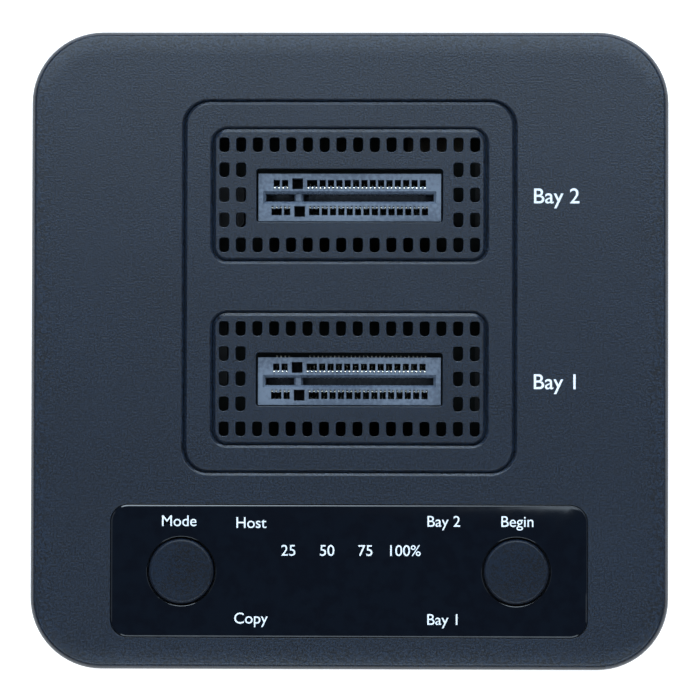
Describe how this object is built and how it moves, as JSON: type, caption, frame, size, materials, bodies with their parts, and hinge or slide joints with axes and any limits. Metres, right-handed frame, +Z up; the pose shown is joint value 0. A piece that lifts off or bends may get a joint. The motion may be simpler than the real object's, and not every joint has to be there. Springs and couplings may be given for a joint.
{
  "type": "drive duplicator",
  "caption": "Square desktop duplicator for M.2 drives: upright card sockets in vented plates over a gloss panel with push buttons.",
  "frame": {"origin": "middle of the case's footprint, on the surface that its feet stand on", "axes": "+Z up out of the card sockets, +Y to the rear where the ports are, +X to the right when facing the control panel"},
  "size_m": [0.0762, 0.0762, 0.0264],
  "materials": {
    "case": "fine matt texture",
    "gloss_panel": "gloss",
    "button": "matt",
    "socket_plastic": "satin",
    "contact": "plated",
    "board": "satin",
    "chip": "satin",
    "capacitor": "satin",
    "metal_can": "plated",
    "screw": "black zinc",
    "lamp": "gloss",
    "clear_plastic": "clear",
    "tape": "matt",
    "foot": "matt"
  },
  "bodies": {
    "case": {"top_cover": "case", "bay_plate": "case", "target_grille": "case", "source_grille": "case", "base_tray": "case", "control_panel": "gloss_panel", "panel_tape": "tape", "light_guides": "clear_plastic", "target_socket": "socket_plastic", "source_socket": "socket_plastic", "target_socket_contacts": "contact", "source_socket_contacts": "contact", "main_board": "board", "case_screws": "screw", "board_screws": "screw", "indicator_lamps": "lamp", "bridge_chips": "chip", "controller_chip": "chip", "memory_chip": "chip", "power_coils": "chip", "block_capacitors": "capacitor", "chip_capacitors": "capacitor", "crystals": "metal_can", "usb_port_shell": "metal_can", "usb_port_tongue": "chip", "power_jack_body": "chip", "power_jack_pin": "contact", "power_jack_leaf": "contact", "power_switch_body": "metal_can", "mode_switch_body": "chip", "start_switch_body": "chip", "foot_front_left": "foot", "foot_rear_left": "foot", "foot_front_right": "foot", "foot_rear_right": "foot"},
    "mode_key": {"mode_button": "button", "mode_switch_plunger": "button"},
    "start_key": {"start_button": "button", "start_switch_plunger": "button"},
    "power_knob": {"power_switch_slider": "button"}
  },
  "joints": [
    {"name": "mode_press", "type": "slide", "parent": "case", "child": "mode_key", "axis": [0, 0, -1], "range_m": [0, 0.0005], "stiffness_N_per_m": 3200},
    {"name": "start_press", "type": "slide", "parent": "case", "child": "start_key", "axis": [0, 0, -1], "range_m": [0, 0.0005], "stiffness_N_per_m": 3200},
    {"name": "power_slide", "type": "slide", "parent": "case", "child": "power_knob", "axis": [1, 0, 0], "range_m": [0, 0.002]}
  ]
}
